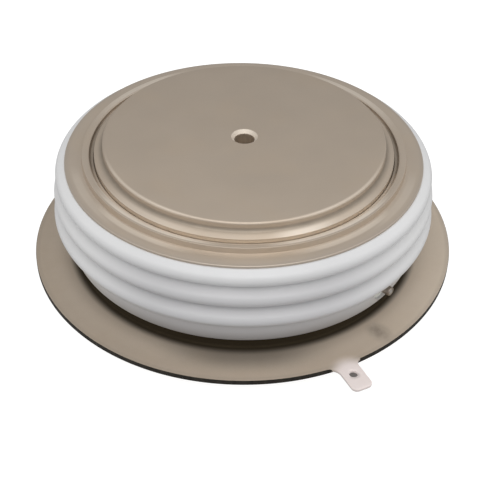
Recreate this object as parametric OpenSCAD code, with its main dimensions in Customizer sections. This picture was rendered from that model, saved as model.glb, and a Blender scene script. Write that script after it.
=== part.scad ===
// Disc thyristor: a pressure-contact capsule with a shedded ceramic ring,
// two nickel-plated copper poles, a welded rim with an auxiliary tab, and the
// silicon stack with its centre-gate contact inside.
// Millimetres, +Z up. The origin is the centre of the lower (cathode) pole face.
// The -Y side is the front; the tab and the gate tube leave on the front right.

/* [Housing] */
// Height from the cathode pole face to the anode pole face
height = 26; // [25.8:0.1:27]
// Diameter of each pole face
pole_d = 48.6; // [48.2:0.1:49]
// Diameter of the welded rim
rim_d = 75; // [74:0.5:78]
// Height of the upper surface of the welded rim
rim_z = 5; // [5:0.05:5.2]
// Thickness of each stamped sheet
sheet_t = 0.45; // [0.4:0.01:0.46]
// Diameter of the centring hole in each pole face
centre_hole_d = 3.5; // [3:0.1:4]
// Depth of the centring hole in each pole face
centre_hole_h = 3; // [2:0.1:3.4]

/* [Ceramic] */
// Inner diameter of the ceramic ring
ceramic_bore_d = 55.2; // [55.1:0.1:55.6]
// Diameter of the plain neck below the sheds
neck_d = 62; // [61.6:0.1:62.4]
// Diameter over the lowest shed
shed_d = 66.8; // [66:0.1:68]
// How much smaller in diameter each higher shed is
shed_taper = 0.6; // [0:0.1:0.8]

/* [Auxiliary tab] */
// Direction of the tab, degrees from +X
tab_az = -63.3; // [-75:0.1:-60]
// Width of the tab
tab_w = 3.6; // [3:0.1:4.8]
// Distance from the axis to the end of the tab
tab_end = 43.3; // [42:0.1:46]
// Distance from the axis to the tab's hole
tab_hole_r = 39.9; // [39.5:0.1:40.5]
// Diameter of the tab's hole
tab_hole_d = 1.4; // [1:0.1:1.6]

/* [Gate] */
// Direction of the gate tube, degrees from +X
gate_az = -41; // [-44:0.5:-36]
// Height of the gate tube's axis
gate_z = 10; // [9.9:0.05:10.1]
// Outer diameter of the gate tube
tube_d = 1.6; // [1.5:0.05:1.7]
// Distance from the axis to the end of the gate tube
tube_end = 32.8; // [32.6:0.1:34.5]

/* [Silicon stack] */
// Diameter of the silicon wafer
wafer_d = 50; // [49:0.1:50.2]
// Thickness of the silicon wafer
wafer_t = 0.9; // [0.7:0.05:0.95]
// Thickness of the anode molybdenum disc
anode_moly_t = 2.2; // [2:0.05:2.25]
// Thickness of the cathode molybdenum disc
cathode_moly_t = 1.5; // [1.3:0.05:1.55]
// Thickness of each silver shim
shim_t = 0.1; // [0.08:0.01:0.12]

/* [Hidden] */
$fn = 96;
pole_r = pole_d / 2;
sheet_r = pole_r + 0.7;      // radius that the stamped sheets are measured from
rim_r = rim_d / 2;
bore_r = ceramic_bore_d / 2;
neck_r = neck_d / 2;

// steps of a pole, measured inwards from its face
step_h = 1.1;               // plain wall below the face edge
shoulder_w = 1.5;           // width of the sloping shoulder
shoulder_h = 0.95;          // height of the sloping shoulder
ledge_h = 3.25;             // seat of the sheet's inner rim
ledge_r = sheet_r + 1.45;
ledge_t = 0.8;
body_r = sheet_r - 0.5;

// levels of the housing
z_top = height;
z_ledge_a = height - ledge_h;              // anode sheet sits here
z_brim_top = z_ledge_a + 0.05;             // upper side of the brim on the ceramic
z_cer_top = z_brim_top - sheet_t;
z_weld = rim_z - sheet_t;                  // plane between the two welded sheets
z_lid_bottom = z_weld - sheet_t;
z_cer_bot = rim_z + 2.2;

// levels of the stack, from the anode pole down
z_a_contact = height - 9.8;
z_am_top = z_a_contact - shim_t;
z_wafer_top = z_am_top - anode_moly_t;
z_wafer_bot = z_wafer_top - wafer_t;
z_cm_bot = z_wafer_bot - cathode_moly_t;
z_c_contact = z_cm_bot - shim_t;
wafer_r = wafer_d / 2;
moly_r = wafer_r + 0.3;
cmoly_r = wafer_r - 1.5;

// gate well in the cathode pole
well_r = 4.2;
well_z = 4.4;
guide_t = 0.7;
z_guide = z_c_contact - 0.1 - guide_t;
pin_flange_r = 2.5;
pin_flange_t = 0.6;
spring_r = 2.05;
spring_wire = 0.2;
lead_r = 0.22;
sleeve_r = 0.6;
tube_r = tube_d / 2;
tube_bore_r = tube_r - 0.3;
root_r = tube_r + 0.2;      // thicker stretch of the tube, brazed into the ceramic
seat_r = neck_r - 0.6;      // flat spot in the neck that the tube leaves from

nickel = [0.63, 0.59, 0.53];
sheet_nickel = [0.62, 0.58, 0.53];
ceramic_white = [0.93, 0.93, 0.94];

// points of an elliptical arc, angles in degrees
function arc(cx, cy, rx, ry, a0, a1, n) =
    [for (i = [0:n]) let (a = a0 + (a1 - a0) * i / n) [cx + rx * cos(a), cy + ry * sin(a)]];
// ramp that starts steep and runs out flat
function flare(r0, z0, r1, z1, n) =
    [for (i = [0:n]) let (s = i / n) [r0 + (r1 - r0) * s, z0 + (z1 - z0) * (1 - (1 - s) * (1 - s))]];
// curve from a to c that leaves a towards b and arrives at c from b, steps i0 to i1 of n
function bend(a, b, c, n, i0, i1) = [for (i = [i0:i1]) let (s = i / n) (1 - s) * (1 - s) * a + 2 * s * (1 - s) * b + s * s * c];
function flip(pts, z0) = [for (i = [len(pts) - 1:-1:0]) [pts[i][0], z0 - pts[i][1]]];

// outline of a pole: x is the radius, y the depth below the face
function pole_outline(length) = concat(
    [[0, 0]],
    arc(pole_r - 0.4, 0.4, 0.4, 0.4, -90, 0, 6),
    bend([pole_r, step_h], [pole_r + 0.1, step_h + 0.4], [pole_r + 0.5, step_h + 0.52], 6, 0, 6),
    [[pole_r + shoulder_w, step_h + shoulder_h], [pole_r + shoulder_w, ledge_h], [ledge_r, ledge_h], [ledge_r, ledge_h + ledge_t],
     [body_r, ledge_h + ledge_t + 0.9], [body_r, length - 0.4], [body_r - 0.4, length], [0, length]]);

module centre_hole(depth_dir) {
    // straight hole with a small countersink at the mouth
    translate([0, 0, depth_dir > 0 ? 0 : -centre_hole_h]) cylinder(d = centre_hole_d, h = centre_hole_h);
    translate([0, 0, depth_dir > 0 ? -0.001 : -0.45])
        cylinder(d1 = centre_hole_d + (depth_dir > 0 ? 0.9 : 0), d2 = centre_hole_d + (depth_dir > 0 ? 0 : 0.9), h = 0.451);
}

module anode_pole() color(nickel)
    difference() {
        rotate_extrude() polygon(flip(pole_outline(height - z_a_contact), z_top));
        translate([0, 0, z_top]) centre_hole(-1);
    }

module cathode_pole() color(nickel)
    difference() {
        rotate_extrude() polygon(pole_outline(z_c_contact));
        centre_hole(1);
        translate([0, 0, well_z]) cylinder(r = well_r, h = z_c_contact);
        rotate([0, 0, gate_az]) translate([0, -1, gate_z - 0.9]) cube([pole_r + 2, 2, 6]);
    }

// stamped bead of each sheet: x is the distance from sheet_r, y the height above
// the pole's ledge; a flat toe on the ledge, then a round ridge
function bead_outside() = concat([[0.9, sheet_t]],
    bend([1.15, sheet_t], [1.5, sheet_t], [1.62, 1], 6, 0, 6),
    bend([1.62, 1], [1.75, 1.17], [2.85, 1.17], 6, 1, 6));
function bead_inside() = [[2.45, 0.7], [2.05, 0.7], [1.93, 0.25], [1.55, 0], [0.9, 0]];

// stamped ring between the anode pole and the ceramic
module anode_diaphragm() color(sheet_nickel)
    rotate_extrude() polygon(concat(
        [for (p = bead_outside()) [sheet_r + p[0], z_ledge_a + p[1]]],
        flare(sheet_r + 3, z_brim_top + 0.12, sheet_r + 4, z_brim_top, 8),
        [[sheet_r + 5.7, z_brim_top], [sheet_r + 5.85, z_brim_top - 0.06], [sheet_r + 5.9, z_brim_top - 0.2],
         [sheet_r + 5.9, z_cer_top], [sheet_r + 2.95, z_cer_top], [sheet_r + 2.6, z_cer_top + 0.22]],
        [for (p = bead_inside()) [sheet_r + p[0], z_ledge_a + p[1]]]));

// sheds: each flank leaves its valley steeply and flares out to a round lip, and
// the undercut below the lip runs in to the next valley
lip_rad = 1.3;
lip3 = shed_d / 2;
lip2 = lip3 - shed_taper / 2;
lip1 = lip2 - shed_taper / 2 - 0.2;
z_lip1 = z_cer_top - 1.6;
z_lip3 = z_cer_bot + 5.95;
z_lip2 = (z_lip1 + z_lip3) / 2 + 0.1;
function lip(lip_r, z_lip, a0) = arc(lip_r - lip_rad, z_lip, lip_rad, lip_rad, a0, -55, 9);
// point at a given radius on the straight line that leaves a lip's arc at angle a
function on_lip(lip_r, z_lip, a, r) =
    [r, z_lip + lip_rad * sin(a) + (lip_r - lip_rad + lip_rad * cos(a) - r) / tan(a)];
function flank(valley_r, z_valley, lip_r, z_lip) =
    bend([valley_r, z_valley], [valley_r, min(z_valley - 0.02, on_lip(lip_r, z_lip, 50, valley_r)[1])],
         [lip_r - lip_rad + lip_rad * cos(50), z_lip + lip_rad * sin(50)], 7, 0, 6);
valley1 = neck_r + 0.4;
valley2 = neck_r + 0.6;
function ceramic_outline() = concat(
    [[bore_r, z_cer_top], [neck_r + 0.13, z_cer_top]],
    lip(lip1, z_lip1, 60),
    flank(valley1, on_lip(lip1, z_lip1, -55, valley1)[1], lip2, z_lip2), lip(lip2, z_lip2, 50),
    flank(valley2, on_lip(lip2, z_lip2, -55, valley2)[1], lip3, z_lip3), lip(lip3, z_lip3, 50),
    bend([lip3 - lip_rad + lip_rad * cos(55), z_lip3 - lip_rad * sin(55)], on_lip(lip3, z_lip3, -55, neck_r), [neck_r, z_lip3 - 2.95], 8, 1, 8),
    arc(neck_r - 0.5, z_cer_bot + 0.5, 0.5, 0.5, 0, -90, 5),
    [[bore_r, z_cer_bot]]);
module ceramic_ring() color(ceramic_white)
    difference() {
        rotate_extrude() polygon(ceramic_outline());
        rotate([0, 0, gate_az]) translate([0, 0, gate_z]) rotate([0, 90, 0]) {
            cylinder(r = root_r, h = shed_d);
            translate([0, 0, seat_r]) cylinder(r = 2.3, h = 6);
        }
    }

// upper welded sheet: brazed under the ceramic, stepped down to the rim, with
// the auxiliary tab cut from the same sheet
module tab_outline() {
    difference() {
        union() {
            translate([rim_r - 2, -tab_w / 2]) square([tab_end - rim_r + 1, tab_w]);
            translate([tab_end - 1, -tab_w / 2 + 1]) circle(r = 1);
            translate([tab_end - 1, tab_w / 2 - 1]) circle(r = 1);
            translate([tab_end - 1.5, -tab_w / 2 + 1]) square([1.5, tab_w - 2]);
            translate([rim_r - 2, -tab_w / 2 - 1.8]) square([3.66, tab_w / 2 + 1.8]);
            translate([rim_r - 2, 0]) square([3.1, tab_w / 2 + 1.2]);
        }
        // root fillets, the one on the left wider
        translate([rim_r + 1.68, -tab_w / 2 - 1.8]) circle(r = 1.8);
        translate([rim_r + 1.12, tab_w / 2 + 1.2]) circle(r = 1.2);
        translate([tab_hole_r, 0]) circle(d = tab_hole_d);
    }
}
step_r = neck_r - 1;        // outside of the step below the ceramic
module cathode_weld_flange() color(sheet_nickel)
    union() {
        translate([0, 0, z_weld]) linear_extrude(height = sheet_t) difference() {
            union() {
                circle(r = rim_r);
                rotate([0, 0, tab_az]) tab_outline();
            }
            circle(r = step_r + 0.4);
            rotate([0, 0, tab_az]) translate([tab_hole_r, 0]) circle(d = tab_hole_d);
        }
        rotate_extrude() polygon(concat(
            [[step_r + 0.4, z_weld], [step_r + 0.4, rim_z]],
            arc(step_r + 0.4, rim_z + 0.4, 0.4, 0.4, 270, 180, 4),
            arc(step_r - 0.4, z_cer_bot - 0.4, 0.4, 0.4, 0, 90, 4),
            [[bore_r - 0.8, z_cer_bot], [bore_r - 0.8, z_cer_bot - sheet_t],
             [step_r - sheet_t, z_cer_bot - sheet_t], [step_r - sheet_t, z_weld]]));
    }

// lower welded sheet: brazed to the cathode pole and flexed out to the rim
module lid_flange() color(sheet_nickel)
    rotate_extrude() polygon(concat(
        [for (p = bead_outside()) [sheet_r + p[0], ledge_h - p[1]]],
        flare(sheet_r + 3, z_lid_bottom - 0.12, sheet_r + 4, z_lid_bottom, 8),
        [[rim_r, z_lid_bottom], [rim_r, z_weld], [sheet_r + 2.95, z_weld], [sheet_r + 2.6, z_weld - 0.22]],
        [for (p = bead_inside()) [sheet_r + p[0], ledge_h - p[1]]]));

module along_gate() rotate([0, 0, gate_az]) translate([0, 0, gate_z]) rotate([0, 90, 0]) children();

module gate_tube() color([0.55, 0.5, 0.46])
    along_gate() difference() {
        union() {
            translate([0, 0, bore_r - 0.7]) cylinder(r = root_r, h = seat_r - bore_r + 0.7);
            translate([0, 0, seat_r - 0.5]) cylinder(r = tube_r, h = tube_end - seat_r + 0.5);
        }
        cylinder(r = tube_bore_r, h = 50);
    }

module gate_tube_seal() color([0.72, 0.71, 0.7])
    along_gate() difference() {
        translate([0, 0, tube_end - 2.2]) cylinder(r = tube_bore_r, h = 2.1);
        cylinder(r = lead_r, h = tube_end - 0.5);
    }

module disc_with_hole(r, hole_r, z, t)
    translate([0, 0, z]) difference() {
        cylinder(r = r, h = t);
        if (hole_r > 0) translate([0, 0, -1]) cylinder(r = hole_r, h = t + 2);
    }

module anode_silver_shim() color([0.86, 0.86, 0.84]) disc_with_hole(body_r - 0.4, 0, z_am_top, shim_t);
module anode_moly_disc() color([0.5, 0.5, 0.52]) disc_with_hole(moly_r, 0, z_wafer_top, anode_moly_t);
module cathode_moly_disc() color([0.5, 0.5, 0.52]) disc_with_hole(cmoly_r, 3.2, z_cm_bot, cathode_moly_t);
module cathode_silver_shim() color([0.86, 0.86, 0.84]) disc_with_hole(cmoly_r - 0.2, well_r + 0.2, z_c_contact, shim_t);

// the wafer's edge is ground to a bevel that the rubber covers
module silicon_wafer() color([0.35, 0.36, 0.4])
    rotate_extrude() polygon([[0, z_wafer_bot], [wafer_r - 0.8, z_wafer_bot], [wafer_r, z_wafer_top], [0, z_wafer_top]]);
module wafer_edge_rubber() color([0.75, 0.32, 0.24])
    rotate_extrude() polygon([[wafer_r, z_wafer_top], [wafer_r - 0.8, z_wafer_bot], [wafer_r - 1.2, z_wafer_bot],
        [wafer_r - 1.15, z_wafer_bot - 0.4], [wafer_r - 0.8, z_wafer_bot - 0.6], [wafer_r + 0.4, z_wafer_bot - 0.6],
        [wafer_r + 0.9, z_wafer_bot - 0.2], [wafer_r + 1, z_wafer_top - 0.3], [wafer_r + 0.7, z_wafer_top]]);

// stands on the inner edge of the upper welded sheet and centres the discs
module centring_ring() color([0.95, 0.95, 0.92])
    difference() {
        rotate_extrude() polygon([[bore_r - 0.75, z_cer_bot], [bore_r - 0.15, z_cer_bot], [bore_r - 0.15, z_am_top + 0.6],
            [moly_r + 0.12, z_am_top + 0.6], [moly_r + 0.12, z_wafer_top + 0.15], [bore_r - 1.2, z_wafer_top + 0.15],
            [bore_r - 1.2, z_c_contact], [bore_r - 0.75, z_c_contact - 0.6]]);
        along_gate() cylinder(r = 1.3, h = 40);
    }

module gate_bush() color([0.96, 0.96, 0.95])
    difference() {
        translate([0, 0, well_z]) cylinder(r = well_r, h = z_guide - well_z);
        translate([0, 0, well_z + 0.8]) cylinder(r = pin_flange_r + 0.2, h = 10);
        rotate([0, 0, gate_az]) translate([0, -0.8, gate_z - 0.8]) cube([well_r + 1, 1.6, 6]);
    }

module gate_pin() color([0.83, 0.8, 0.72])
    union() {
        translate([0, 0, well_z + 2.2]) cylinder(r = 1.5, h = gate_z - pin_flange_t / 2 - well_z - 2.2);
        translate([0, 0, gate_z - pin_flange_t / 2]) cylinder(r = pin_flange_r, h = pin_flange_t);
        translate([0, 0, gate_z + pin_flange_t / 2]) cylinder(r = 0.8, h = z_wafer_bot - gate_z - pin_flange_t / 2);
    }

module gate_guide_washer() color([0.93, 0.9, 0.8]) disc_with_hole(well_r, 0.85, z_guide, guide_t);

// compression spring under the pin's flange, swept along its helix with
// closed ends
spring_turns = 5;
spring_z0 = well_z + 0.8 + spring_wire;
spring_z1 = gate_z - pin_flange_t / 2 - spring_wire;
spring_steps = 20 * spring_turns;
function spring_rise(t) = t < 1 ? 0.42 * t * spring_wire / 0.2 * 0.5
    : t > spring_turns - 1 ? (spring_z1 - spring_z0) - 0.21 * (spring_turns - t)
    : 0.21 + (spring_z1 - spring_z0 - 0.42) * (t - 1) / (spring_turns - 2);
module gate_spring() color([0.72, 0.72, 0.74]) {
    sides = 8;
    pts = [for (i = [0:spring_steps], j = [0:sides - 1])
        let (t = i / 20, a = 360 * t, b = 360 * j / sides, r = spring_r + spring_wire * cos(b))
        [r * cos(a), r * sin(a), spring_z0 + spring_rise(t) + spring_wire * sin(b)]];
    faces = concat(
        [[for (j = [0:sides - 1]) j]],
        [for (i = [0:spring_steps - 1], j = [0:sides - 1])
            [i * sides + j, (i + 1) * sides + j, (i + 1) * sides + (j + 1) % sides, i * sides + (j + 1) % sides]],
        [[for (j = [sides - 1:-1:0]) spring_steps * sides + j]]);
    polyhedron(points = pts, faces = faces);
}

module gate_lead() color([0.85, 0.84, 0.8])
    along_gate() translate([0, 0, pin_flange_r]) cylinder(r = lead_r, h = tube_end - 0.5 - pin_flange_r);
module gate_sleeve() color([0.9, 0.88, 0.82])
    along_gate() difference() {
        translate([0, 0, pin_flange_r + 0.5]) cylinder(r = sleeve_r, h = bore_r - 1 - pin_flange_r - 0.5);
        cylinder(r = lead_r, h = 50);
    }

anode_pole();
anode_diaphragm();
ceramic_ring();
cathode_weld_flange();
lid_flange();
cathode_pole();
gate_tube();
gate_tube_seal();
anode_silver_shim();
anode_moly_disc();
silicon_wafer();
wafer_edge_rubber();
cathode_moly_disc();
cathode_silver_shim();
centring_ring();
gate_bush();
gate_spring();
gate_pin();
gate_guide_washer();
gate_lead();
gate_sleeve();
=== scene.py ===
import math

import bmesh
import bpy
import numpy as np
from mathutils import Matrix, Vector
from mathutils.geometry import delaunay_2d_cdt


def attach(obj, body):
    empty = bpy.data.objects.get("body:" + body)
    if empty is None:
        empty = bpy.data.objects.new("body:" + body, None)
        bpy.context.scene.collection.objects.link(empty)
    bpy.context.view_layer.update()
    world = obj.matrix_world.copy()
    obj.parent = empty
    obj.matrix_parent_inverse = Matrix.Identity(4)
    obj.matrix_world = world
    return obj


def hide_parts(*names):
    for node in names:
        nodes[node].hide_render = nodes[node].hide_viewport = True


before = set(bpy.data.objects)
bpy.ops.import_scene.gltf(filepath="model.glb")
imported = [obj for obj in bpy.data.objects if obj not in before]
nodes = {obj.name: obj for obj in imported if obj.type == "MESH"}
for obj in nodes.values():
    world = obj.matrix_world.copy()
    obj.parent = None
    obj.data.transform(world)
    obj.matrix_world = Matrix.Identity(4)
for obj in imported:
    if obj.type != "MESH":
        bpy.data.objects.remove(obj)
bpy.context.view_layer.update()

MM = 0.001

# ---------------------------------------------------------------- dimensions
# the same numbers as the construction, in millimetres
HEIGHT, POLE_R, SHEET_R, RIM_R, RIM_Z, SHEET = 26.0, 24.3, 25.0, 37.5, 5.0, 0.45
BORE_R, NECK_R = 27.6, 31.0
LIP3 = 33.4
LIP2 = LIP3 - 0.3
LIP1 = LIP2 - 0.5
LIP_RAD = 1.3
LEDGE_H, LEDGE_R, LEDGE_T, BODY_R = 3.25, SHEET_R + 1.45, 0.8, SHEET_R - 0.5
Z_LEDGE = HEIGHT - LEDGE_H
Z_BRIM = Z_LEDGE + 0.05
Z_CER_TOP = Z_BRIM - SHEET
Z_CER_BOT = RIM_Z + 2.2
Z_WELD = RIM_Z - SHEET
Z_LID = Z_WELD - SHEET
Z_A_CONTACT, Z_C_CONTACT = 16.2, 11.4
TAB_AZ, TAB_W, TAB_END, TAB_HOLE_R, TAB_HOLE_D = math.radians(-63.3), 3.6, 43.3, 39.9, 1.4
GATE_AZ, GATE_Z, TUBE_R, TUBE_END = math.radians(-41.0), 10.0, 0.8, 32.8
ROOT_R, TUBE_BORE = TUBE_R + 0.2, TUBE_R - 0.3
SEAT_R = NECK_R - 0.6
STEP_R = NECK_R - 1.0
SEG = 384


# ---------------------------------------------------------------- outlines
def arc(cx, cy, rx, ry, a0, a1, n):
    return [(cx + rx * math.cos(math.radians(a0 + (a1 - a0) * i / n)),
             cy + ry * math.sin(math.radians(a0 + (a1 - a0) * i / n))) for i in range(n + 1)]


def flare(r0, z0, r1, z1, n=18):
    return [(r0 + (r1 - r0) * i / n, z0 + (z1 - z0) * (1 - (1 - i / n) ** 2)) for i in range(n + 1)]


def bend(a, b, c, n):
    return [tuple((1 - t) ** 2 * a[k] + 2 * t * (1 - t) * b[k] + t * t * c[k] for k in (0, 1)) for t in np.linspace(0, 1, n + 1)]


def soften(pts, radius, closed, n=4, limit=25.0):
    """Rounds every corner sharper than limit degrees with a small arc, and sets a
    point just before and after it so that flat faces stay flat in shading."""
    out, m = [], len(pts)
    for i, p in enumerate(pts):
        if not closed and i in (0, m - 1):
            out.append(p)
            continue
        a, b, c = np.array(pts[i - 1]), np.array(p), np.array(pts[(i + 1) % m])
        u, v = a - b, c - b
        lu, lv = np.linalg.norm(u), np.linalg.norm(v)
        if lu < 1e-6 or lv < 1e-6:
            continue
        u, v = u / lu, v / lv
        turn = math.pi - math.acos(max(-1, min(1, float(u @ v))))
        if math.degrees(turn) < limit:
            out.append(p)
            continue
        half = (math.pi - turn) / 2
        cut = min(radius / math.tan(half), 0.33 * lu, 0.33 * lv)
        r = cut * math.tan(half)
        if lu > 3.2 * cut:
            out.append(tuple(b + u * cut * 1.6))
        mid = b + (u + v) / np.linalg.norm(u + v) * (r / math.sin(half))
        p0, p1 = b + u * cut - mid, b + v * cut - mid
        for k in range(n + 1):
            t = k / n
            s = math.sin(turn)
            q = (math.sin((1 - t) * turn) * p0 + math.sin(t * turn) * p1) / s if s > 1e-6 else p0 * (1 - t) + p1 * t
            out.append(tuple(mid + q))
        if lv > 3.2 * cut:
            out.append(tuple(b + v * cut * 1.6))
    return out


def dense(pts, step, closed):
    """Adds points along long straight runs."""
    out, m = [], len(pts)
    for i in range(m if closed else m - 1):
        a, b = np.array(pts[i]), np.array(pts[(i + 1) % m])
        n = max(1, int(math.ceil(np.linalg.norm(b - a) / step)))
        out += [tuple(a + (b - a) * k / n) for k in range(n)]
    return out if closed else out + [tuple(pts[-1])]


# ---------------------------------------------------------------- meshes
def finish_mesh(name, verts, faces, sharp=32.0):
    me = bpy.data.meshes.new(name)
    me.from_pydata([tuple(np.array(v) * MM) for v in verts], [], faces)
    bm = bmesh.new()
    bm.from_mesh(me)
    bmesh.ops.remove_doubles(bm, verts=bm.verts, dist=1e-8)
    bmesh.ops.recalc_face_normals(bm, faces=bm.faces)
    bm.to_mesh(me)
    bm.free()
    me.shade_smooth()
    me.set_sharp_from_angle(angle=math.radians(sharp))
    ob = bpy.data.objects.new(name, me)
    bpy.context.scene.collection.objects.link(ob)
    return ob


def lathe_data(prof, closed, seg=SEG):
    verts, faces, rows = [], [], []
    for r, z in prof:
        if r < 1e-6:
            rows.append([len(verts)] * seg)
            verts.append((0.0, 0.0, z))
        else:
            rows.append(list(range(len(verts), len(verts) + seg)))
            verts += [(r * math.cos(2 * math.pi * i / seg), r * math.sin(2 * math.pi * i / seg), z) for i in range(seg)]
    m = len(rows)
    for j in range(m if closed else m - 1):
        a, b = rows[j], rows[(j + 1) % m]
        for i in range(seg):
            k = (i + 1) % seg
            f = [a[i], a[k], b[k], b[i]]
            f = [x for n, x in enumerate(f) if x not in f[:n]]
            if len(f) > 2:
                faces.append(f)
    return verts, faces


def lathe(name, prof, closed, seg=SEG, sharp=32.0):
    return finish_mesh(name, *lathe_data(prof, closed, seg), sharp=sharp)


def on_gate(obj):
    """Turns a shape lathed about its own Z so that it lies along the gate's axis."""
    turn = Matrix.Rotation(GATE_AZ, 4, "Z") @ Matrix.Translation((0, 0, GATE_Z * MM)) @ Matrix.Rotation(math.pi / 2, 4, "Y")
    obj.data.transform(turn)
    return obj


def cut(obj, tool, sharp=32.0):
    mod = obj.modifiers.new("cut", "BOOLEAN")
    mod.operation, mod.object, mod.solver = "DIFFERENCE", tool, "EXACT"
    dg = bpy.context.evaluated_depsgraph_get()
    me = bpy.data.meshes.new_from_object(obj.evaluated_get(dg))
    obj.modifiers.clear()
    old = obj.data
    obj.data = me
    me.name = old.name + "_cut"
    bpy.data.meshes.remove(old)
    bpy.data.objects.remove(tool)
    me.shade_smooth()
    me.set_sharp_from_angle(angle=math.radians(sharp))
    return obj


# ---------------------------------------------------------------- poles
def pole_outer():
    """Radius and depth below the face, from the face's edge inwards along the side."""
    pts = [(POLE_R - 3.0, 0.0)]
    pts += arc(POLE_R - 0.4, 0.4, 0.4, 0.4, -90, 0, 10)
    pts += bend((POLE_R, 1.1), (POLE_R + 0.1, 1.5), (POLE_R + 0.5, 1.62), 12)
    pts += [(POLE_R + 1.5, 2.05), (POLE_R + 1.5, LEDGE_H), (LEDGE_R, LEDGE_H), (LEDGE_R, LEDGE_H + LEDGE_T), (BODY_R, LEDGE_H + LEDGE_T + 0.9)]
    return pts


def pole_profile(length, inner):
    hole = [(0.0, 3.0), (1.75, 3.0), (1.75, 0.6), (2.28, 0.0)]
    pts = hole + [(r, 0.0) for r in np.linspace(3.0, POLE_R - 4.0, 12)] + pole_outer()
    pts += [(BODY_R, length - 0.4), (BODY_R - 0.4, length)] + inner
    return soften(pts, 0.07, False, n=3)


anode_pole = lathe("anode_pole_body", [(r, HEIGHT - d) for r, d in pole_profile(HEIGHT - Z_A_CONTACT, [(0.0, HEIGHT - Z_A_CONTACT)])], False)
cathode_pole = lathe("cathode_pole_body", pole_profile(Z_C_CONTACT, [(4.2, Z_C_CONTACT), (4.2, 4.4), (0.0, 4.4)]), False)
slot = finish_mesh("slot_tool", [(x, y, z) for x in (0, 30) for y in (-1, 1) for z in (GATE_Z - 0.9, 14)],
                   [(0, 1, 3, 2), (4, 6, 7, 5), (0, 4, 5, 1), (2, 3, 7, 6), (0, 2, 6, 4), (1, 5, 7, 3)])
slot.data.transform(Matrix.Rotation(GATE_AZ, 4, "Z"))
cut(cathode_pole, slot)

# ---------------------------------------------------------------- anode sheet
brim_edge = [(SHEET_R + 5.72, Z_BRIM)] + arc(SHEET_R + 5.72, Z_BRIM - 0.18, 0.18, 0.18, 90, 0, 6)[1:]
# the stamped bead: distance from SHEET_R, and height above the pole's ledge
bead_out = [(0.9, SHEET)] + bend((1.15, SHEET), (1.5, SHEET), (1.62, 1.0), 10) + bend((1.62, 1.0), (1.75, 1.17), (2.85, 1.17), 12)[1:]
bead_in = [(2.45, 0.7), (2.05, 0.7), (1.93, 0.25), (1.55, 0.0), (0.9, 0.0)]
dia = [(SHEET_R + r, Z_LEDGE + z) for r, z in bead_out] + flare(SHEET_R + 3.0, Z_BRIM + 0.12, SHEET_R + 4.0, Z_BRIM) + brim_edge
dia += [(SHEET_R + 5.9, Z_CER_TOP), (SHEET_R + 2.95, Z_CER_TOP), (SHEET_R + 2.6, Z_CER_TOP + 0.22)] + [(SHEET_R + r, Z_LEDGE + z) for r, z in bead_in]
diaphragm = lathe("anode_diaphragm_sheet", soften(dia, 0.1, True, n=5, limit=28), True)


# ---------------------------------------------------------------- ceramic
def lip(lip_r, z_lip, a0):
    return arc(lip_r - LIP_RAD, z_lip, LIP_RAD, LIP_RAD, a0, -55, 16)


def on_lip(lip_r, z_lip, a, r):
    """Point at radius r on the straight line that leaves a lip's arc at angle a."""
    a = math.radians(a)
    return (r, z_lip + LIP_RAD * math.sin(a) + (lip_r - LIP_RAD + LIP_RAD * math.cos(a) - r) / math.tan(a))


def flank(valley_r, above, lip_r, z_lip):
    """From the valley below the lip above, flaring out to the next lip."""
    b = math.radians(50)
    v = on_lip(*above, -55, valley_r)
    return bend(v, (valley_r, min(v[1] - 0.02, on_lip(lip_r, z_lip, 50, valley_r)[1])),
                (lip_r - LIP_RAD + LIP_RAD * math.cos(b), z_lip + LIP_RAD * math.sin(b)), 14)[:-1]


Z_LIP1 = Z_CER_TOP - 1.6
Z_LIP3 = Z_CER_BOT + 5.95
Z_LIP2 = (Z_LIP1 + Z_LIP3) / 2 + 0.1
outer = [(NECK_R + 0.13, Z_CER_TOP)] + lip(LIP1, Z_LIP1, 60)
outer += flank(NECK_R + 0.4, (LIP1, Z_LIP1), LIP2, Z_LIP2) + lip(LIP2, Z_LIP2, 50)
outer += flank(NECK_R + 0.6, (LIP2, Z_LIP2), LIP3, Z_LIP3) + lip(LIP3, Z_LIP3, 50)
outer += bend(lip(LIP3, Z_LIP3, 50)[-1], on_lip(LIP3, Z_LIP3, -55, NECK_R), (NECK_R, Z_LIP3 - 2.95), 14)[1:]
outer += arc(NECK_R - 0.5, Z_CER_BOT + 0.5, 0.5, 0.5, 0, -90, 8)
cer = [(BORE_R, Z_CER_TOP)] + outer + [(BORE_R, Z_CER_BOT)]
cer = dense(soften(cer, 0.3, True, n=6, limit=20), 0.9, True)
ceramic = lathe("ceramic_ring_glazed", cer, True, sharp=45)
seat = [(0.0, 24.0), (ROOT_R, 24.0), (ROOT_R, SEAT_R), (2.0, SEAT_R)] + arc(2.0, SEAT_R + 0.3, 0.3, 0.3, -90, 0, 5)[1:] + [(2.3, 40.0), (0.0, 40.0)]
cut(ceramic, on_gate(lathe("seat_tool", seat, False, seg=96)), sharp=45)


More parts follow.
